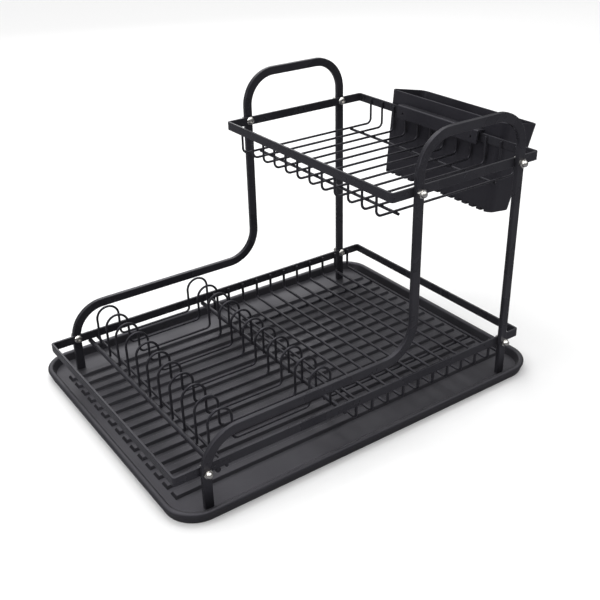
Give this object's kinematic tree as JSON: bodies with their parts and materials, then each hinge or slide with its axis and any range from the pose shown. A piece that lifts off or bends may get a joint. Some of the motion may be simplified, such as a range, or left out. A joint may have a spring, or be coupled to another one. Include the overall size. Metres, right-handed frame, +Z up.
{
  "type": "dish drying rack",
  "caption": "Two-level wire dish drying rack with plate section, low grid, upper tier, side handles, hung cutlery basket and drip tray.",
  "frame": {"origin": "on the table under the middle of the drip tray", "axes": "+X along the long side towards the tower and cutlery basket, +Y to the back, +Z up"},
  "size_m": [0.4835, 0.33, 0.2959],
  "materials": {
    "black_steel": "satin powder coat",
    "black_plastic": "satin moulded",
    "nickel": "bright nickel plate"
  },
  "bodies": {
    "tray": {"drip_tray": "black_plastic"},
    "rack": {"back_grid_rod": "black_steel", "back_side_frame": "black_steel", "button_screws": "nickel", "cap_nuts": "nickel", "front_grid_rod": "black_steel", "front_side_frame": "black_steel", "grid_wire_1": "black_steel", "grid_wire_10": "black_steel", "grid_wire_11": "black_steel", "grid_wire_2": "black_steel", "grid_wire_3": "black_steel", "grid_wire_4": "black_steel", "grid_wire_5": "black_steel", "grid_wire_6": "black_steel", "grid_wire_7": "black_steel", "grid_wire_8": "black_steel", "grid_wire_9": "black_steel", "left_shelf_rod": "black_steel", "lower_rim": "black_steel", "plate_end_bar": "black_steel", "plate_end_rod": "black_steel", "plate_inner_bar": "black_steel", "plate_inner_rod": "black_steel", "plate_wire_1": "black_steel", "plate_wire_10": "black_steel", "plate_wire_11": "black_steel", "plate_wire_2": "black_steel", "plate_wire_3": "black_steel", "plate_wire_4": "black_steel", "plate_wire_5": "black_steel", "plate_wire_6": "black_steel", "plate_wire_7": "black_steel", "plate_wire_8": "black_steel", "plate_wire_9": "black_steel", "right_shelf_rod": "black_steel", "shelf_wire_1": "black_steel", "shelf_wire_10": "black_steel", "shelf_wire_11": "black_steel", "shelf_wire_12": "black_steel", "shelf_wire_2": "black_steel", "shelf_wire_3": "black_steel", "shelf_wire_4": "black_steel", "shelf_wire_5": "black_steel", "shelf_wire_6": "black_steel", "shelf_wire_7": "black_steel", "shelf_wire_8": "black_steel", "shelf_wire_9": "black_steel", "upper_rim": "black_steel"},
    "basket": {"cutlery_basket": "black_plastic"}
  },
  "joints": [
    {"name": "rack_lift", "type": "slide", "parent": "tray", "child": "rack", "axis": [0, 0, 1], "range_m": [0, 0.08]},
    {"name": "basket_lift", "type": "slide", "parent": "rack", "child": "basket", "axis": [0.1219, 0, 0.9925], "range_m": [0, 0.1]}
  ]
}
